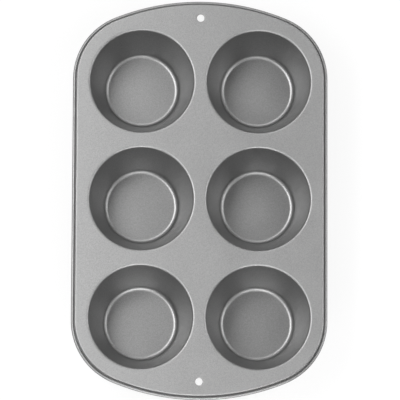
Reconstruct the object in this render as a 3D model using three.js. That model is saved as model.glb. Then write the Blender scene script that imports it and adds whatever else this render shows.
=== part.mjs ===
// A six-cup jumbo muffin pan: a pressed deck plate with a wired rim, and drawn cups seamed in from below.
// Millimetres, +Z up, +Y to the rear. The cups stand on z = 0 and the pan is centred on the Z axis.

import * as THREE from "three";
import { mergeGeometries, mergeVertices, toCreasedNormals } from "three/addons/utils/BufferGeometryUtils.js";

// Driving dimensions of the sheet and the cups
const SHEET = 0.6; // thickness of the steel, the same everywhere
const CUP_DEPTH = 48.9; // from the deck top down to a cup's floor
const MOUTH_RADIUS = 43; // clear radius inside a collar
const WALL_DRAFT = THREE.MathUtils.degToRad(15.6); // lean of a cup's wall from upright
const FLOOR_BEND = 4; // inside radius between a cup's floor and its wall
const LIP_BEND = 0.7; // smallest radius of the seam, under the cup's lip
const SEAM_GAP = 0.3; // clearance between a cup's lip and the deck above it
const COLUMN_GAP = 7.6; // flat deck between two mouths side by side
const ROW_GAP = 9.3; // flat deck between two mouths one behind the other
const LIP_CLEARANCE = 0.9; // from a lip's edge to the middle of the narrowest gap

// Driving dimensions of the deck's outline
const SIDE_LAND = 8.6; // flat deck from a mouth to the rim along the sides
const END_LAND = 19.6; // flat deck from the end mouths to the rim, on the centre line
const CORNER_RADIUS = 52; // of the flat deck's corners
const END_BOW = 10.1; // how far an end's middle stands out past its corners

// Driving dimensions of the rim
const RIM_BEND = 0.5; // radius under the deck's edge
const SKIRT_LEAN = THREE.MathUtils.degToRad(3); // of the skirt from upright
const SKIRT_LENGTH = 3.46; // straight part of the skirt
const VALLEY_BEND = 0.15; // radius of the groove between skirt and bead
const BEAD_RISE = THREE.MathUtils.degToRad(75); // climb out of the groove onto the bead
const BEAD_TURN = THREE.MathUtils.degToRad(290); // how far the bead is rolled round its wire
const WIRE_DIAMETER = 0.9;
const WIRE_GAP = 0.3; // clearance between the wire and the bead around it

// Driving dimensions of the hang holes, one at each end
const HANG_HOLE_DIAMETER = 7.2;
const HANG_HOLE_INSET = 10.7; // from the flat deck's end to the hole's centre

// Cup layout, front to rear and left to right
const ROW_NAMES = ["front", "middle", "rear"];
const COLUMN_NAMES = ["left", "right"];

// Facets of the round shapes
const CUP_SEGMENTS = 32;
const HOLE_SEGMENTS = 16;
const WIRE_SEGMENTS = 8;
const CORNER_STEPS = 7;
const END_STEPS = 8;

// Radii of the nested bends at a mouth, from the innermost out: cup lip, seam gap, deck collar
const lipBendMiddle = LIP_BEND + SHEET / 2;
const collarBend = LIP_BEND + SHEET + SEAM_GAP;
const collarBendMiddle = collarBend + SHEET / 2;
const mouthEdge = MOUTH_RADIUS + collarBend + SHEET;
const wallAngle = Math.PI / 2 - WALL_DRAFT;

// Heights
const deckTop = CUP_DEPTH + SHEET;
const deckMiddle = deckTop - SHEET / 2;
const lipMiddle = deckMiddle - SHEET - SEAM_GAP;

// Cup centres and the flat deck's half sizes
const columnPitch = 2 * mouthEdge + COLUMN_GAP;
const rowPitch = 2 * mouthEdge + ROW_GAP;
const lastColumn = ((COLUMN_NAMES.length - 1) / 2) * columnPitch;
const lastRow = ((ROW_NAMES.length - 1) / 2) * rowPitch;
const halfWidth = lastColumn + mouthEdge + SIDE_LAND;
const halfLength = lastRow + mouthEdge + END_LAND;
const lipReach = Math.min(COLUMN_GAP, ROW_GAP) / 2 - LIP_CLEARANCE;

// Rim
const rimBendMiddle = RIM_BEND + SHEET / 2;
const valleyBendMiddle = VALLEY_BEND + SHEET / 2;
const wireRadius = WIRE_DIAMETER / 2;
const beadMiddle = wireRadius + WIRE_GAP + SHEET / 2;
const skirtAngle = Math.PI / 2 - SKIRT_LEAN;

// Finishes
const COATING = { color: 0xa9aaac, roughness: 0.38, metalness: 0.75 };
const BRIGHT_STEEL = { color: 0xc4c6c8, roughness: 0.3, metalness: 1 };

// Moves along the middle of a folded sheet: straight on, or round a bend that turns left when positive
const straight = (length) => ({ length, turn: 0, steps: 1 });
const bend = (radius, turn, steps) => ({
  length: 2 * radius * Math.sin(Math.abs(turn) / steps / 2) * steps,
  turn,
  steps,
});

// Follows the moves from a start point, heading outward, and returns the stations passed on the way
function walkSheet(start, moves) {
  const at = start.clone();
  let heading = 0;
  const stations = [{ at: at.clone(), heading }];
  for (const { length, turn, steps } of moves) {
    for (let step = 0; step < steps; step += 1) {
      heading += turn / steps / 2;
      at.x += (Math.cos(heading) * length) / steps;
      at.y += (Math.sin(heading) * length) / steps;
      heading += turn / steps / 2;
      stations.push({ at: at.clone(), heading });
    }
  }
  return stations;
}

// The point beside a station, to the left of its heading when positive
function beside({ at, heading }, distance) {
  return new THREE.Vector2(at.x - Math.sin(heading) * distance, at.y + Math.cos(heading) * distance);
}

// The section of a sheet: along its upper face, over its far edge and back along its lower face
function sheetSection(stations) {
  const upper = stations.map((station) => beside(station, SHEET / 2));
  const lower = stations.map((station) => beside(station, -SHEET / 2));
  return [...upper, ...lower.reverse()];
}

// Rays that stand on an arc in plan, from one angle to another: outward, or inward with side -1
function arcRays(centre, radius, from, to, steps, side) {
  const rays = [];
  for (let step = 0; step <= steps; step += 1) {
    const angle = from + ((to - from) * step) / steps;
    const outward = new THREE.Vector2(Math.cos(angle), Math.sin(angle));
    rays.push({ foot: outward.clone().multiplyScalar(radius).add(centre), direction: outward.multiplyScalar(side) });
  }
  return rays;
}

// Rays round the edge of the flat deck, anticlockwise: a corner, the bowed rear end, two corners, the front end
function deckEdgeRays() {
  const cornerX = halfWidth - CORNER_RADIUS;
  const cornerY = halfLength - END_BOW - CORNER_RADIUS;
  const endRadius = (cornerX ** 2 + (END_BOW + CORNER_RADIUS) ** 2 - CORNER_RADIUS ** 2) / (2 * END_BOW);
  const endY = halfLength - endRadius;
  const join = Math.atan2(cornerY - endY, cornerX);
  const corner = (x, y, from, to) => arcRays(new THREE.Vector2(x, y), CORNER_RADIUS, from, to, CORNER_STEPS, 1);
  const end = (y, from, to) => arcRays(new THREE.Vector2(0, y), endRadius, from, to, END_STEPS, 1).slice(1, -1);
  return [
    ...corner(cornerX, cornerY, 0, join),
    ...end(endY, join, Math.PI - join),
    ...corner(-cornerX, cornerY, Math.PI - join, Math.PI),
    ...corner(-cornerX, -cornerY, Math.PI, Math.PI + join),
    ...end(-endY, Math.PI + join, 2 * Math.PI - join),
    ...corner(cornerX, -cornerY, 2 * Math.PI - join, 2 * Math.PI),
  ];
}

// Rays that point into a round hole, clockwise
function holeRays(centre, radius, segments) {
  return arcRays(centre, radius, 2 * Math.PI, 0, segments, -1).slice(0, -1);
}

// Carries a section round a closed ring of rays: x is the distance along a ray, y the height
function sweepAround(rays, section) {
  const positions = rays.flatMap(({ foot, direction }) =>
    section.flatMap(({ x, y }) => [foot.x + direction.x * x, foot.y + direction.y * x, y]),
  );
  const indices = [];
  rays.forEach((ray, index) => {
    const here = index * section.length;
    const next = ((index + 1) % rays.length) * section.length;
    for (let point = 0; point < section.length - 1; point += 1) {
      indices.push(here + point, here + point + 1, next + point + 1);
      indices.push(here + point, next + point + 1, next + point);
    }
  });
  const geometry = new THREE.BufferGeometry();
  geometry.setAttribute("position", new THREE.Float32BufferAttribute(positions, 3));
  geometry.setIndex(indices);
  return geometry;
}

// A flat face over the feet of the outer rays, with a hole inside each ring of hole rays
function flatFace(outerRays, holes, height, facingUp) {
  const shape = new THREE.Shape(outerRays.map(({ foot }) => foot));
  shape.holes = holes.map((rays) => new THREE.Path(rays.map(({ foot }) => foot)));
  const geometry = new THREE.ShapeGeometry(shape).translate(0, 0, height);
  geometry.deleteAttribute("normal");
  geometry.deleteAttribute("uv");
  if (!facingUp) {
    geometry.index.array.reverse();
  }
  return geometry;
}

function namedMesh(name, geometry, finish) {
  const mesh = new THREE.Mesh(geometry, new THREE.MeshStandardMaterial(finish));
  mesh.name = name;
  return mesh;
}

// The middle of the sheet at the flat deck's edge, where the rim, the collars and the holes start
const deckEdge = new THREE.Vector2(0, deckMiddle);

const rimMoves = {
  skirt: [bend(rimBendMiddle, -skirtAngle, 2), straight(SKIRT_LENGTH)],
  valley: [bend(valleyBendMiddle, skirtAngle + BEAD_RISE, 3)],
  bead: [bend(beadMiddle, -BEAD_TURN, 9)],
};

function cupCentres() {
  return ROW_NAMES.flatMap((row, rowIndex) =>
    COLUMN_NAMES.map((column, columnIndex) => ({
      name: `cup_${row}_${column}`,
      x: columnIndex * columnPitch - lastColumn,
      y: rowIndex * rowPitch - lastRow,
    })),
  );
}

function deckPlate() {
  const outerRays = deckEdgeRays();
  const mouths = cupCentres().map(({ x, y }) => holeRays(new THREE.Vector2(x, y), mouthEdge, CUP_SEGMENTS));
  const hangHoles = [1, -1].map((end) =>
    holeRays(new THREE.Vector2(0, end * (halfLength - HANG_HOLE_INSET)), HANG_HOLE_DIAMETER / 2, HOLE_SEGMENTS),
  );
  const rim = sheetSection(walkSheet(deckEdge, [...rimMoves.skirt, ...rimMoves.valley, ...rimMoves.bead]));
  const collar = sheetSection(walkSheet(deckEdge, [bend(collarBendMiddle, -wallAngle, 3)]));
  const punchedEdge = sheetSection(walkSheet(deckEdge, []));
  const holes = [...mouths, ...hangHoles];
  const faces = [
    flatFace(outerRays, holes, deckTop, true),
    flatFace(outerRays, holes, deckTop - SHEET, false),
    sweepAround(outerRays, rim),
    ...mouths.map((rays) => sweepAround(rays, collar)),
    ...hangHoles.map((rays) => sweepAround(rays, punchedEdge)),
  ];
  return namedMesh("deck_plate", toCreasedNormals(mergeVertices(mergeGeometries(faces))), COATING);
}

function rimWire() {
  const crest = walkSheet(deckEdge, [...rimMoves.skirt, ...rimMoves.valley]).at(-1);
  const centre = beside(crest, -beadMiddle);
  const section = [];
  for (let segment = 0; segment <= WIRE_SEGMENTS; segment += 1) {
    const angle = (-2 * Math.PI * segment) / WIRE_SEGMENTS;
    section.push(new THREE.Vector2(Math.cos(angle), Math.sin(angle)).multiplyScalar(wireRadius).add(centre));
  }
  const ring = mergeVertices(sweepAround(deckEdgeRays(), section));
  return namedMesh("rim_wire", toCreasedNormals(ring), BRIGHT_STEEL);
}

// A cup's sheet runs from its centre over the floor, up the wall and out under the deck
function cup({ name, x, y }) {
  const floorBendMiddle = FLOOR_BEND + SHEET / 2;
  const bends = floorBendMiddle + lipBendMiddle;
  const rise = lipMiddle - SHEET / 2;
  const wallLength = (rise - bends * (1 - Math.cos(wallAngle))) / Math.sin(wallAngle);
  const floorRadius = mouthEdge - bends * Math.sin(wallAngle) - wallLength * Math.cos(wallAngle);
  const stations = walkSheet(new THREE.Vector2(0, SHEET / 2), [
    straight(floorRadius),
    bend(floorBendMiddle, wallAngle, 3),
    straight(wallLength),
    bend(lipBendMiddle, -wallAngle, 2),
    straight(lipReach),
  ]);
  const profile = sheetSection(stations).reverse();
  const geometry = new THREE.LatheGeometry(profile, CUP_SEGMENTS).rotateX(Math.PI / 2);
  const mesh = namedMesh(name, geometry, COATING);
  mesh.position.set(x, y, 0);
  return mesh;
}

const pan = new THREE.Group();
pan.name = "jumbo_muffin_pan";
pan.add(deckPlate(), rimWire(), ...cupCentres().map(cup));

export default pan;
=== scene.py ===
"""Dresses the jumbo muffin pan: pressed sheets in a grey coating, on a pale floor in soft studio light."""

import logging
import math
from dataclasses import dataclass
from enum import Enum
from typing import Any

import bmesh
import bpy
from mathutils import Matrix, Vector


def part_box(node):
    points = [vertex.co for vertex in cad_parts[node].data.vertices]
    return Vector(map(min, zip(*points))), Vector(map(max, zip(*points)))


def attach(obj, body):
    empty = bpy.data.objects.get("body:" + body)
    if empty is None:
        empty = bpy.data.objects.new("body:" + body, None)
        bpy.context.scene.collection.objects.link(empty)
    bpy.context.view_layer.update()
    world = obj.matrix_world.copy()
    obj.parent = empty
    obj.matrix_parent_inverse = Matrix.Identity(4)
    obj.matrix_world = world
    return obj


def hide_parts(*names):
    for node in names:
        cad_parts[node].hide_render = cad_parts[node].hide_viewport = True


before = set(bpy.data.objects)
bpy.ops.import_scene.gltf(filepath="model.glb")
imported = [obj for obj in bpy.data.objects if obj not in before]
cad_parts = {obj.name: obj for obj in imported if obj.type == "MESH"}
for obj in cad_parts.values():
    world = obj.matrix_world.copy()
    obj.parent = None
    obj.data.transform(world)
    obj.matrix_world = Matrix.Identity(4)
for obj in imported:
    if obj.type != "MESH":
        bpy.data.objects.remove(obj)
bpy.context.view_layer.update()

LOG = logging.getLogger("muffin_pan")
BODY = "root"
MERGE_DISTANCE = 1e-6
MIRROR_MERGE = 1e-5
SEED_SIZE = 0.001
SMOOTH_ANGLE = math.radians(40)
ROUND_PROFILE = 0.5
WHITE = (1.0, 1.0, 1.0, 1.0)

# Most of a noise texture's values lie in this span.
NOISE_SPAN = (0.35, 0.65)

# The places of the colour sockets on a mix node, which also has sockets for numbers.
MIX_FACTOR = 0
MIX_FIRST = 6
MIX_SECOND = 7
MIX_RESULT = 2

Pair = tuple[float, float]
Colour = tuple[float, float, float]


class Row(Enum):
    """A row of cups, by the name its nodes carry."""

    FRONT = "front"
    MIDDLE = "middle"
    REAR = "rear"


class Column(Enum):
    """A column of cups, by the name its nodes carry."""

    LEFT = "left"
    RIGHT = "right"


class Slot(Enum):
    """The record's material slots."""

    COATING = "nonstick_coating"
    WIRE = "wire_steel"


def select_only(piece: bpy.types.Object) -> None:
    """Selects one object alone and makes it the active one.

    Args:
        piece: The object.
    """
    bpy.ops.object.select_all(action="DESELECT")
    bpy.context.view_layer.objects.active = piece
    piece.select_set(True)


def edit(piece: bpy.types.Object, kind: str) -> bmesh.types.BMesh:
    """Opens a piece for editing with nothing selected.

    Args:
        piece: The mesh object to edit.
        kind: What is picked: VERT, EDGE or FACE.

    Returns:
        The mesh in edit mode, for picking its elements by their place.
    """
    if bpy.context.mode == "EDIT_MESH":
        bpy.ops.object.mode_set(mode="OBJECT")
    select_only(piece)
    bpy.ops.object.mode_set(mode="EDIT")
    bpy.ops.mesh.select_mode(type=kind)
    bpy.ops.mesh.select_all(action="DESELECT")
    return bmesh.from_edit_mesh(piece.data)


def close() -> None:
    """Leaves edit mode."""
    bpy.ops.object.mode_set(mode="OBJECT")


def pick_edges(piece: bpy.types.Object, low: float, high: float, boundary: bool) -> None:
    """Opens a piece and selects the edges that lie between two heights.

    Args:
        piece: The mesh object.
        low: The lowest height that counts, in metres.
        high: The highest height that counts, in metres.
        boundary: Whether only the edges of open borders count.
    """
    mesh = edit(piece, "EDGE")
    for edge in mesh.edges:
        level = all(low <= vert.co.z <= high for vert in edge.verts)
        edge.select_set(level and (edge.is_boundary or not boundary))
    bmesh.update_edit_mesh(piece.data)


def face_upwards(piece: bpy.types.Object) -> None:
    """Merges doubles and turns a sheet's faces one way, with its widest level face looking up.

    Args:
        piece: The sheet, still without thickness.
    """
    edit(piece, "FACE")
    bpy.ops.mesh.select_all(action="SELECT")
    bpy.ops.mesh.remove_doubles(threshold=MERGE_DISTANCE)
    bpy.ops.mesh.normals_make_consistent(inside=False)
    mesh = bmesh.from_edit_mesh(piece.data)
    widest = max(mesh.faces, key=lambda face: face.calc_area() * abs(face.normal.z))
    if widest.normal.z < 0.0:
        bpy.ops.mesh.flip_normals()
    close()


def thicken(piece: bpy.types.Object, thickness: float) -> None:
    """Gives a sheet its thickness behind the face that was drawn, and shades it smooth.

    Args:
        piece: The sheet, with its faces looking to its upper side.
        thickness: The thickness in metres.
    """
    select_only(piece)
    solid = piece.modifiers.new("thickness", "SOLIDIFY")
    solid.thickness = thickness
    solid.offset = -1.0
    solid.use_even_offset = True
    bpy.ops.object.modifier_apply(modifier=solid.name)
    bpy.ops.object.shade_smooth_by_angle(angle=SMOOTH_ANGLE)


def copy_to(piece: bpy.types.Object, name: str, place: Vector) -> bpy.types.Object:
    """Copies a piece with a mesh of its own, and puts its place into that mesh.

    Args:
        piece: The piece to copy.
        name: The copy's name.
        place: How far the copy is moved, in metres.

    Returns:
        The copy.
    """
    select_only(piece)
    bpy.ops.object.duplicate(linked=False)
    copy = bpy.context.object
    bpy.ops.transform.translate(value=place)
    bpy.ops.object.transform_apply(location=True, rotation=True, scale=True)
    copy.name = name
    copy.data.name = name
    return copy


def join(pieces: list[bpy.types.Object], into: bpy.types.Object) -> None:
    """Joins pieces into one object.

    Args:
        pieces: The pieces that are used up.
        into: The object that takes them in.
    """
    select_only(into)
    for piece in pieces:
        piece.select_set(True)
    bpy.ops.object.join()


class FoldLine:
    """A chain of edges in the XZ plane, drawn as a sheet is folded: straight on, or round a bend."""

    def __init__(self, name: str, start: Vector, heading: float) -> None:
        """Starts the chain as one vertex, merged out of a small plane.

        Args:
            name: The name of the new object.
            start: Where the chain starts, in metres.
            heading: The way it starts off: 0 along +X, pi along -X.
        """
        self.at = start.copy()
        self.heading = heading
        bpy.ops.object.select_all(action="DESELECT")
        bpy.ops.mesh.primitive_plane_add(size=SEED_SIZE, location=start)
        bpy.ops.object.transform_apply(location=True, rotation=True, scale=True)
        self.piece = bpy.context.object
        self.piece.name = name
        self.piece.data.name = name
        edit(self.piece, "VERT")
        bpy.ops.mesh.select_all(action="SELECT")
        bpy.ops.mesh.merge(type="CENTER")

    def straight(self, length: float) -> "FoldLine":
        """Extrudes the last vertex straight on.

        Args:
            length: How far, in metres.

        Returns:
            The line itself, for the next fold.
        """
        step = length * Vector((math.cos(self.heading), 0.0, math.sin(self.heading)))
        bpy.ops.mesh.extrude_vertices_move(TRANSFORM_OT_translate={"value": step})
        self.at += step
        return self

    def centre(self, radius: float, turn: float) -> Vector:
        """The centre of a bend from here: to the left for a left turn, and to the right otherwise."""
        side = math.copysign(radius, turn)
        return self.at + side * Vector((-math.sin(self.heading), 0.0, math.cos(self.heading)))

    def bend(self, radius: float, turn: float, steps: int) -> "FoldLine":
        """Spins the last vertex round a bend.

        Args:
            radius: The bend's radius in metres.
            turn: The angle in radians, to the left when positive.
            steps: How many edges the bend has.

        Returns:
            The line itself, for the next fold.
        """
        centre = self.centre(radius, turn)
        bpy.ops.mesh.spin(steps=steps, angle=turn, center=centre, axis=(0.0, 1.0, 0.0))
        self.at = centre + Matrix.Rotation(-turn, 3, "Y") @ (self.at - centre)
        self.heading += turn
        return self

    def revolve(self, steps: int) -> bpy.types.Object:
        """Spins the whole chain round the Z axis.

        Args:
            steps: How many facets the round has.

        Returns:
            The open sheet that the chain swept.
        """
        bpy.ops.mesh.select_all(action="SELECT")
        bpy.ops.mesh.spin(steps=steps, angle=math.tau, center=(0.0, 0.0, 0.0), axis=(0.0, 0.0, 1.0))
        close()
        return self.piece


@dataclass(frozen=True)
class Sheet:
    """What the deck and the cups share: the steel's thickness and the seam at a mouth, in metres."""

    thickness: float = 0.0006
    seam_gap: float = 0.0003
    lip_bend: float = 0.0007
    mouth_radius: float = 0.043
    wall_draft: float = math.radians(15.6)
    round_steps: int = 128

    @property
    def lip_face(self) -> float:
        """Radius of the bend on the upper face of a cup's lip."""
        return self.lip_bend + self.thickness

    @property
    def collar_face(self) -> float:
        """Radius of the bend on the upper face of a deck collar."""
        return self.lip_face + self.seam_gap + self.thickness

    @property
    def mouth_edge(self) -> float:
        """Radius at which the flat deck starts to bend into a mouth."""
        return self.mouth_radius + self.collar_face

    @property
    def wall_angle(self) -> float:
        """How far a cup's wall stands up from its floor."""
        return math.pi / 2 - self.wall_draft


@dataclass(frozen=True)
class Rim:
    """The stepped-down edge of the deck and the bead rolled round the wire, in metres."""

    edge_bend: float = 0.0005
    skirt_lean: float = math.radians(3)
    skirt_length: float = 0.00346
    valley_bend: float = 0.00015
    bead_rise: float = math.radians(75)
    bead_turn: float = math.radians(290)
    wire_radius: float = 0.00045
    wire_gap: float = 0.0003
    bend_steps: int = 8
    bead_steps: int = 30

    @property
    def skirt_fall(self) -> float:
        """How far the skirt turns down from level."""
        return math.pi / 2 - self.skirt_lean

    def bead_radius(self, thickness: float) -> float:
        """Radius of the bead's outside."""
        return self.wire_radius + self.wire_gap + thickness

    def reach(self, thickness: float) -> float:
        """How far the bead stands out past the edge of the flat deck.

        Args:
            thickness: The sheet's thickness in metres.

        Returns:
            The distance in metres.
        """
        edge = (self.edge_bend + thickness) * math.sin(self.skirt_fall)
        skirt = self.skirt_length * math.cos(self.skirt_fall)
        valley = self.valley_bend * (math.sin(self.skirt_fall) + math.sin(self.bead_rise))
        bead = self.bead_radius(thickness) * (math.sin(self.bead_rise) + 1.0)
        return edge + skirt + valley + bead

    def draw(self, line: FoldLine, thickness: float) -> None:
        """Folds the rim's upper face from the edge of the flat deck to the end of the bead.

        Args:
            line: The fold line, at the flat deck's edge and heading outwards.
            thickness: The sheet's thickness in metres.
        """
        line.bend(self.edge_bend + thickness, -self.skirt_fall, self.bend_steps)
        line.straight(self.skirt_length)
        line.bend(self.valley_bend, self.skirt_fall + self.bead_rise, self.bend_steps)
        line.bend(self.bead_radius(thickness), -self.bead_turn, self.bead_steps)


@dataclass(frozen=True)
class Outline:
    """The edge of the flat deck in plan: straight sides, round corners and bowed ends, in metres."""

    half_width: float
    half_length: float
    corner_radius: float = 0.052
    end_bow: float = 0.0101
    corner_steps: int = 28
    end_steps: int = 20

    def carry(self, piece: bpy.types.Object) -> None:
        """Carries a section round the whole outline: one quarter by extrude and spin, the rest by mirror.

        Args:
            piece: The section, as edges in the XZ plane at the middle of the right side.
        """
        # The end's arc passes through the middle of the end and touches the corner's arc.
        rise = self.end_bow + self.corner_radius
        corner = Vector((self.half_width - self.corner_radius, self.half_length - rise, 0.0))
        end_radius = (corner.x**2 + rise**2 - self.corner_radius**2) / (2 * self.end_bow)
        end = Vector((0.0, self.half_length - end_radius, 0.0))
        join = math.atan2(corner.y - end.y, corner.x)
        edit(piece, "VERT")
        bpy.ops.mesh.select_all(action="SELECT")
        bpy.ops.mesh.extrude_region_move(TRANSFORM_OT_translate={"value": (0.0, corner.y, 0.0)})
        upright = (0.0, 0.0, -1.0)
        bpy.ops.mesh.spin(steps=self.corner_steps, angle=join, center=corner, axis=upright)
        bpy.ops.mesh.spin(steps=self.end_steps, angle=math.pi / 2 - join, center=end, axis=upright)
        close()
        mirror = piece.modifiers.new("quarters", "MIRROR")
        mirror.use_axis = (True, True, False)
        mirror.merge_threshold = MIRROR_MERGE
        bpy.ops.object.modifier_apply(modifier=mirror.name)


class NodeBoard:
    """A material's node tree, filled one node at a time."""

    def __init__(self, name: str) -> None:
        """Starts an empty node material.

        Args:
            name: The material's name.
        """
        self.material = bpy.data.materials.new(name)
        self.material.use_nodes = True
        self.tree = self.material.node_tree
        self.tree.nodes.clear()

    def node(self, kind: str, **inputs: Any) -> bpy.types.Node:
        """Adds a node and sets or links its inputs.

        Args:
            kind: The node's type name.
            inputs: A value or an output socket for each input, with spaces as they are on the node.

        Returns:
            The new node.
        """
        made = self.tree.nodes.new(kind)
        for name, value in inputs.items():
            self.plug(made.inputs[name], value)
        return made

    def plug(self, socket: bpy.types.NodeSocket, value: Any) -> None:
        """Links an output to a socket, or sets the socket to a plain value.

        Args:
            socket: The input that is filled.
            value: The output socket or the value.
        """
        if isinstance(value, bpy.types.NodeSocket):
            self.tree.links.new(value, socket)
        else:
            socket.default_value = value

    def mix(self, factor: Any, low: Any, high: Any) -> bpy.types.NodeSocket:
        """Mixes two colours.

        Args:
            factor: From 0, the first, to 1, the second.
            low: The first colour.
            high: The second colour.

        Returns:
            The mixed colour's socket.
        """
        made = self.tree.nodes.new("ShaderNodeMix")
        made.data_type = "RGBA"
        self.plug(made.inputs[MIX_FACTOR], factor)
        self.plug(made.inputs[MIX_FIRST], low)
        self.plug(made.inputs[MIX_SECOND], high)
        return made.outputs[MIX_RESULT]

    def map_range(self, value: Any, span: Pair, to: Pair) -> bpy.types.NodeSocket:
        """Maps one range of numbers to another, clamped.

        Args:
            value: The socket that is mapped.
            span: The range that it comes in.
            to: The range that this becomes.

        Returns:
            The mapped number's socket.
        """
        made = self.tree.nodes.new("ShaderNodeMapRange")
        for index, number in enumerate((value, *span, *to)):
            self.plug(made.inputs[index], number)
        return made.outputs[0]

    def noise(self, coords: bpy.types.NodeSocket, size: float, detail: float) -> bpy.types.NodeSocket:
        """Adds a noise texture.

        Args:
            coords: The coordinates' socket.
            size: How large its spots are, in metres.
            detail: How many finer layers it has.

        Returns:
            The noise's socket, a number from 0 to 1.
        """
        made = self.node("ShaderNodeTexNoise", Vector=coords, Scale=1.0 / size, Detail=detail)
        return made.outputs["Fac"]

    def sum(self, first: Any, second: Any) -> bpy.types.NodeSocket:
        """Adds two numbers.

        Args:
            first: The first number or its socket.
            second: The second number or its socket.

        Returns:
            The sum's socket.
        """
        made = self.tree.nodes.new("ShaderNodeMath")
        made.operation = "ADD"
        self.plug(made.inputs[0], first)
        self.plug(made.inputs[1], second)
        return made.outputs[0]

    def blend(self, factor: Any, first: Any, second: Any) -> bpy.types.NodeSocket:
        """Blends two shaders.

        Args:
            factor: From 0, the first, to 1, the second.
            first: The first shader's socket.
            second: The second shader's socket.

        Returns:
            The blended shader's socket.
        """
        made = self.tree.nodes.new("ShaderNodeMixShader")
        for index, value in enumerate((factor, first, second)):
            self.plug(made.inputs[index], value)
        return made.outputs[0]

    def show(self, shader: bpy.types.NodeSocket) -> None:
        """Makes a shader the material's surface."""
        output = self.tree.nodes.new("ShaderNodeOutputMaterial")
        self.tree.links.new(shader, output.inputs["Surface"])

    def surface(self, **inputs: Any) -> None:
        """Adds the main shader and makes it the material's surface.

        Args:
            inputs: A value or an output socket for each of the shader's inputs.
        """
        self.show(self.node("ShaderNodeBsdfPrincipled", **inputs).outputs["BSDF"])


@dataclass(frozen=True)
class CoatedSteel:
    """Steel sheet in a grey non-stick coating: fine metal flake under a thin satin binder, in metres."""

    name: str
    colour: Colour
    metallic: float = 1.0
    edge_tint: Colour = (0.6, 0.6, 0.6)
    flake_size: float = 0.00045
    flake_depth: float = 0.12
    roughness: float = 0.50
    roughness_spread: float = 0.02
    mottle_size: float = 0.03
    mottle_detail: float = 4.0
    peel_size: float = 0.0007
    peel_detail: float = 2.0
    peel_height: float = 0.0002
    peel_strength: float = 0.05
    binder: float = 0.25
    binder_roughness: float = 0.2

    def material(self) -> bpy.types.Material:
        """Builds the coating: flaked grey, mottled gloss, a faint orange peel and the binder on top.

        Returns:
            The new material.
        """
        made = NodeBoard(self.name)
        coords = made.node("ShaderNodeTexCoord").outputs["Object"]
        flakes = made.node("ShaderNodeTexVoronoi", Vector=coords, Scale=1.0 / self.flake_size)
        shade = made.node("ShaderNodeSeparateColor", Color=flakes.outputs["Color"]).outputs["Red"]
        dark = [value * (1.0 - self.flake_depth) for value in self.colour]
        pale = [value * (1.0 + self.flake_depth) for value in self.colour]
        mottle = made.noise(coords, self.mottle_size, self.mottle_detail)
        gloss = (self.roughness - self.roughness_spread, self.roughness + self.roughness_spread)
        peel = made.noise(coords, self.peel_size, self.peel_detail)
        bump = made.node(
            "ShaderNodeBump",
            Height=peel,
            Strength=self.peel_strength,
            Distance=self.peel_height,
        )
        made.surface(
            **{
                "Base Color": made.mix(shade, (*dark, 1.0), (*pale, 1.0)),
                "Metallic": self.metallic,
                "Specular Tint": (*self.edge_tint, 1.0),
                "Roughness": made.map_range(mottle, NOISE_SPAN, gloss),
                "Normal": bump.outputs["Normal"],
                "Coat Weight": self.binder,
                "Coat Roughness": self.binder_roughness,
            }
        )
        return made.material


DECK_COATING = CoatedSteel("deck_coating", (0.33, 0.33, 0.33))
# The cups take the deck's grey painted a shade darker, which is painted shade for the inside of the cups.
# Their roughness and binder differ too.
SHADED_CUP_COATING = CoatedSteel("cup_coating_painted_shade", (0.31, 0.31, 0.31), roughness=0.44, binder=0.4)


@dataclass(frozen=True)
class DrawnWire:
    """Plain drawn steel wire with a fine grain, in metres."""

    colour: Colour = (0.55, 0.56, 0.57)
    metallic: float = 1.0
    grain_size: float = 0.00033
    grain_detail: float = 3.0
    grain_depth: float = 0.2
    roughness: float = 0.32
    roughness_spread: float = 0.06

    def material(self) -> bpy.types.Material:
        """Builds the wire's finish.

        Returns:
            The new material.
        """
        made = NodeBoard("drawn_wire")
        coords = made.node("ShaderNodeTexCoord").outputs["Object"]
        grain = made.noise(coords, self.grain_size, self.grain_detail)
        dark = [value * (1.0 - self.grain_depth) for value in self.colour]
        gloss = (self.roughness - self.roughness_spread, self.roughness + self.roughness_spread)
        made.surface(
            **{
                "Base Color": made.mix(grain, (*dark, 1.0), (*self.colour, 1.0)),
                "Metallic": self.metallic,
                "Roughness": made.map_range(grain, NOISE_SPAN, gloss),
            }
        )
        return made.material


def put_in_place(piece: bpy.types.Object, node: str, finish: bpy.types.Material) -> None:
    """Gives a piece its finish and puts it in its CAD node's place.

    Args:
        piece: The finished mesh object.
        node: The CAD node that it replaces.
        finish: The material.
    """
    piece.data.materials.clear()
    piece.data.materials.append(finish)
    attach(piece, BODY)
    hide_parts(node)
    LOG.info("%s: %d faces", piece.name, len(piece.data.polygons))


@dataclass(frozen=True)
class CupPlace:
    """Where one cup hangs, read from its CAD node."""

    row: Row
    column: Column

    @property
    def node(self) -> str:
        """The CAD node's name."""
        return f"cup_{self.row.value}_{self.column.value}"

    @property
    def centre(self) -> Vector:
        """The cup's axis in plan."""
        low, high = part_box(self.node)
        return Vector(((low.x + high.x) / 2, (low.y + high.y) / 2, 0.0))

    @property
    def lip_radius(self) -> float:
        """Radius of the lip's edge."""
        low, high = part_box(self.node)
        return (high.x - low.x) / 2

    def dress(self, pattern: bpy.types.Object, shaded_lining: bpy.types.Material) -> None:
        """Copies the drawn cup to this place and gives the copy its coating, whose grey carries painted
        shade.

        Args:
            pattern: The drawn cup, centred on the Z axis.
            shaded_lining: The material of all cups, its grey painted darker than the deck's as shade.
        """
        put_in_place(copy_to(pattern, self.node, self.centre), self.node, shaded_lining)


CUPS = [CupPlace(row, column) for row in Row for column in Column]


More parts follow.
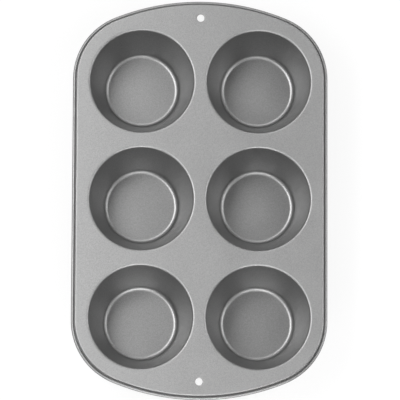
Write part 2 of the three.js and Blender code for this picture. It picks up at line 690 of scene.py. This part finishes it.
@dataclass(frozen=True)
class DeckPlate:
    """The deck: one sheet with collared mouths, hang holes, a skirt and a rolled bead, in metres."""

    sheet: Sheet
    rim: Rim
    support: float = 0.0008
    hang_hole_radius: float = 0.0031
    hang_hole_inset: float = 0.01494
    hang_hole_bend: float = 0.0006
    hang_hole_turn: float = math.radians(80)
    hang_bend_steps: int = 6
    hang_round_steps: int = 48
    collar_steps: int = 10
    node: str = "deck_plate"

    @property
    def top(self) -> float:
        """Height of the deck's upper face."""
        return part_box(self.node)[1].z

    def outline(self) -> Outline:
        """The flat deck's edge, set in from the CAD node's box by the width of the rim.

        Returns:
            The outline.
        """
        reach = self.rim.reach(self.sheet.thickness)
        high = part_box(self.node)[1]
        return Outline(high.x - reach, high.y - reach)

    def rim_strip(self, outline: Outline) -> bpy.types.Object:
        """Sweeps the skirt and the bead round the outline, with a narrow flat border inside them.

        Args:
            outline: The flat deck's edge.

        Returns:
            The open strip.
        """
        line = FoldLine(self.node, Vector((outline.half_width - self.support, 0.0, self.top)), 0.0)
        line.straight(self.support)
        self.rim.draw(line, self.sheet.thickness)
        outline.carry(line.piece)
        return line.piece

    def collar(self) -> bpy.types.Object:
        """Turns one mouth's collar about the Z axis, with a narrow flat border outside it.

        Returns:
            The open collar.
        """
        line = FoldLine("collar", Vector((self.sheet.mouth_edge + self.support, 0.0, self.top)), math.pi)
        line.straight(self.support)
        line.bend(self.sheet.collar_face, self.sheet.wall_angle, self.collar_steps)
        return line.revolve(self.sheet.round_steps)

    def hang_edge(self) -> bpy.types.Object:
        """Turns the softly drawn edge of a hang hole about the Z axis.

        Returns:
            The open edge.
        """
        start = self.hang_hole_radius + self.hang_hole_bend + self.support
        line = FoldLine("hang_edge", Vector((start, 0.0, self.top)), math.pi)
        line.straight(self.support)
        line.bend(self.hang_hole_bend, self.hang_hole_turn, self.hang_bend_steps)
        return line.revolve(self.hang_round_steps)

    def build(self) -> bpy.types.Object:
        """Joins the rim, the collars and the hang holes by filling the flat deck between them.

        Returns:
            The finished deck.
        """
        outline = self.outline()
        strip = self.rim_strip(outline)
        collar = self.collar()
        hang = self.hang_edge()
        edges = [copy_to(collar, f"collar_{cup.node}", cup.centre) for cup in CUPS]
        hole_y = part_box(self.node)[1].y - self.hang_hole_inset
        edges += [copy_to(hang, f"hang_{end}", Vector((0.0, end * hole_y, 0.0))) for end in (1, -1)]
        bpy.data.objects.remove(collar)
        bpy.data.objects.remove(hang)
        join(edges, strip)
        face_upwards(strip)
        pick_edges(strip, self.top - MERGE_DISTANCE, self.top + MERGE_DISTANCE, True)
        bpy.ops.mesh.fill(use_beauty=True)
        face_upwards(strip)
        thicken(strip, self.sheet.thickness)
        return strip

    def dress(self) -> None:
        """Builds the deck and gives it its coating."""
        put_in_place(self.build(), self.node, DECK_COATING.material())


@dataclass(frozen=True)
class DrawnCup:
    """One drawn cup: flat floor, rounded corner, tapered wall and a lip under the deck, in metres."""

    sheet: Sheet
    deck_top: float
    lip_radius: float
    floor_bend: float = 0.004
    floor_steps: int = 12
    lip_steps: int = 6

    def build(self) -> bpy.types.Object:
        """Draws the cup up from a disc about the Z axis, then rounds its two corners.

        Returns:
            The finished cup, centred on the Z axis.
        """
        # The wall's straight line is carried on to both corners, and the bevels then round them off.
        lip_height = self.deck_top - self.sheet.thickness - self.sheet.seam_gap
        floor_height = self.sheet.thickness
        half_turn = math.tan(self.sheet.wall_angle / 2)
        mouth = self.sheet.mouth_edge - self.sheet.lip_face * half_turn
        rise = lip_height - floor_height
        corner = mouth - rise * math.tan(self.sheet.wall_draft)
        bpy.ops.object.select_all(action="DESELECT")
        bpy.ops.mesh.primitive_circle_add(
            vertices=self.sheet.round_steps,
            radius=corner,
            fill_type="NGON",
            location=(0.0, 0.0, floor_height),
        )
        bpy.ops.object.transform_apply(location=True, rotation=True, scale=True)
        piece = bpy.context.object
        piece.name = "cup"
        pick_edges(piece, 0.0, self.deck_top, True)
        bpy.ops.mesh.extrude_edges_move(TRANSFORM_OT_translate={"value": (0.0, 0.0, rise)})
        self.widen(mouth / corner)
        bpy.ops.mesh.extrude_edges_move(TRANSFORM_OT_translate={"value": (0.0, 0.0, 0.0)})
        self.widen(self.lip_radius / mouth)
        self.pick_ring(piece, floor_height, corner)
        self.round_off(self.floor_bend * half_turn, self.floor_steps)
        self.pick_ring(piece, lip_height, mouth)
        self.round_off(self.sheet.lip_face * half_turn, self.lip_steps)
        mesh = edit(piece, "FACE")
        floor = max(mesh.faces, key=lambda face: face.calc_area())
        floor.select_set(True)
        bmesh.update_edit_mesh(piece.data)
        bpy.ops.mesh.inset(thickness=self.sheet.thickness)
        face_upwards(piece)
        thicken(piece, self.sheet.thickness)
        return piece

    def widen(self, factor: float) -> None:
        """Scales what is selected about the cup's axis, in plan."""
        bpy.ops.transform.resize(value=(factor, factor, 1.0), center_override=(0.0, 0.0, 0.0))

    def pick_ring(self, piece: bpy.types.Object, height: float, radius: float) -> None:
        """Opens the cup and selects the ring of edges at one height and radius.

        Args:
            piece: The cup.
            height: The ring's height in metres.
            radius: The ring's radius in metres.
        """
        mesh = edit(piece, "EDGE")
        for edge in mesh.edges:
            level = all(abs(vert.co.z - height) < MERGE_DISTANCE for vert in edge.verts)
            on_circle = all(abs(vert.co.xy.length - radius) < MERGE_DISTANCE for vert in edge.verts)
            edge.select_set(level and on_circle)
        bmesh.update_edit_mesh(piece.data)

    def round_off(self, offset: float, steps: int) -> None:
        """Bevels the selected edges to a round bend.

        Args:
            offset: How far the bevel reaches along each side, in metres.
            steps: How many facets the bend has.
        """
        bpy.ops.mesh.bevel(
            offset=offset,
            offset_type="OFFSET",
            segments=steps,
            profile=ROUND_PROFILE,
            affect="EDGES",
        )
        close()


@dataclass(frozen=True)
class RimWire:
    """The wire inside the bead, in metres."""

    deck: DeckPlate
    steps: int = 24
    node: str = "rim_wire"

    def build(self) -> bpy.types.Object:
        """Carries a round section along the middle of the bead.

        Returns:
            The finished wire.
        """
        outline = self.deck.outline()
        low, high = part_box(self.node)
        centre = Vector((high.x - self.deck.rim.wire_radius, 0.0, (low.z + high.z) / 2))
        bpy.ops.object.select_all(action="DESELECT")
        bpy.ops.mesh.primitive_circle_add(
            vertices=self.steps,
            radius=self.deck.rim.wire_radius,
            location=centre,
            rotation=(math.pi / 2, 0.0, 0.0),
        )
        bpy.ops.object.transform_apply(location=True, rotation=True, scale=True)
        piece = bpy.context.object
        piece.name = self.node
        outline.carry(piece)
        edit(piece, "FACE")
        bpy.ops.mesh.select_all(action="SELECT")
        bpy.ops.mesh.remove_doubles(threshold=MERGE_DISTANCE)
        bpy.ops.mesh.normals_make_consistent(inside=False)
        close()
        bpy.ops.object.shade_smooth_by_angle(angle=SMOOTH_ANGLE)
        return piece

    def dress(self) -> None:
        """Builds the wire and gives it its drawn finish."""
        put_in_place(self.build(), self.node, DrawnWire().material())


@dataclass(frozen=True)
class SoftBox:
    """A soft box that looks at the middle of the pan, in metres."""

    name: str
    place: tuple[float, float, float]
    size: Pair
    brightness: float

    def build(self) -> None:
        """Adds the lamp, turned to the middle of the pan."""
        data = bpy.data.lights.new(self.name, "AREA")
        data.shape = "RECTANGLE"
        data.size, data.size_y = self.size
        # The power is spread over the lamp's area and every direction in front of it.
        data.energy = self.brightness * math.pi * self.size[0] * self.size[1]
        lamp = bpy.data.objects.new(self.name, data)
        lamp.location = self.place
        lamp.rotation_mode = "QUATERNION"
        lamp.rotation_quaternion = (-Vector(self.place)).to_track_quat("-Z", "Y")
        lamp.visible_camera = False
        bpy.context.scene.collection.objects.link(lamp)


SOFT_BOXES = (
    SoftBox("key_box", (-0.6, 0.16, 1.0), (0.6, 0.45), 8.0),
    SoftBox("rear_left_box", (-0.45, 0.6, 1.2), (0.45, 0.5), 2.8),
    SoftBox("front_left_box", (-0.42, -0.2, 0.75), (0.3, 0.2), 5.2),
    SoftBox("front_box", (0.0, -0.5, 0.35), (0.5, 0.25), 3.4),
    SoftBox("front_high_box", (0.0, -0.74, 0.67), (0.75, 0.45), 2.3),
    SoftBox("right_box", (0.74, 0.0, 0.67), (0.75, 0.45), 3.4),
    SoftBox("right_high_box", (0.5, 0.1, 0.75), (0.5, 0.25), 1.6),
    SoftBox("rear_box", (0.0, 0.74, 0.67), (0.75, 0.45), 2.2),
    SoftBox("overhead_box", (0.0, -0.4, 1.2), (0.45, 0.5), 1.4),
)


@dataclass(frozen=True)
class Studio:
    """The pale floor, the soft light and the camera, in metres."""

    deck_top: float
    distance: float = 3.5
    tilt: float = math.radians(8.537)
    lean: float = math.radians(0.729)
    roll: float = math.radians(0.291)
    aim: Pair = (0.00016, -0.00108)
    lens: float = 376.57
    sensor: float = 36.0
    far_clip: float = 100.0
    room_light: float = 0.05
    floor_size: float = 40.0
    floor_drop: float = 0.0002
    floor_colour: Colour = (0.9, 0.9, 0.9)
    floor_white: float = 0.85

    def build(self) -> None:
        """Sets up the floor, the room, the lamps and the camera."""
        self.floor()
        self.room()
        for box in SOFT_BOXES:
            box.build()
        self.camera()
        bpy.context.scene.view_settings.view_transform = "Standard"

    def floor(self) -> None:
        """Lays a wide pale floor under the cups that looks white and still takes the pan's shadow."""
        bpy.ops.object.select_all(action="DESELECT")
        bpy.ops.mesh.primitive_plane_add(size=self.floor_size, location=(0.0, 0.0, -self.floor_drop))
        floor = bpy.context.object
        floor.name = "floor"
        # The camera and the metal see white paper, and the rest of the light falls on a matte floor.
        made = NodeBoard("pale_floor")
        path = made.node("ShaderNodeLightPath").outputs
        seen = made.sum(made.sum(path["Is Camera Ray"], path["Is Glossy Ray"]), path["Is Transmission Ray"])
        white = made.map_range(seen, (0.0, 1.0), (0.0, self.floor_white))
        matte = made.node("ShaderNodeBsdfDiffuse", Color=(*self.floor_colour, 1.0))
        paper = made.node("ShaderNodeEmission", Color=WHITE, Strength=1.0)
        made.show(made.blend(white, matte.outputs["BSDF"], paper.outputs["Emission"]))
        floor.data.materials.append(made.material)

    def room(self) -> None:
        """Fills the room with a little even light."""
        world = bpy.data.worlds.new("studio")
        bpy.context.scene.world = world
        world.use_nodes = True
        sky = world.node_tree.nodes["Background"]
        sky.inputs["Color"].default_value = WHITE
        sky.inputs["Strength"].default_value = self.room_light

    def camera(self) -> None:
        """Stands the camera in front of and high above the deck, where the photograph was taken."""
        data = bpy.data.cameras.new("camera")
        data.lens = self.lens
        data.sensor_width = self.sensor
        data.clip_end = self.far_clip
        camera = bpy.data.objects.new("camera", data)
        bpy.context.scene.collection.objects.link(camera)
        turn = Matrix.Rotation(-self.lean, 4, "Y") @ Matrix.Rotation(self.tilt, 4, "X")
        turn = turn @ Matrix.Rotation(self.roll, 4, "Z")
        place = turn @ Vector((*self.aim, self.distance)) + Vector((0.0, 0.0, self.deck_top))
        camera.matrix_world = Matrix.Translation(place) @ turn
        bpy.context.scene.camera = camera


def main() -> None:
    """Builds the deck, the cups and the wire, dresses them and sets up the studio."""
    logging.basicConfig(level=logging.INFO, format="%(name)s %(message)s")
    sheet = Sheet()
    deck = DeckPlate(sheet, Rim())
    deck.dress()
    pattern = DrawnCup(sheet, deck.top, CUPS[0].lip_radius).build()
    # The cups' coating carries painted shade: its grey is darker than the deck's.
    shaded_lining = SHADED_CUP_COATING.material()
    for cup in CUPS:
        cup.dress(pattern, shaded_lining)
    bpy.data.objects.remove(pattern)
    RimWire(deck).dress()
    Studio(deck.top).build()


if __name__ == "__main__":
    main()
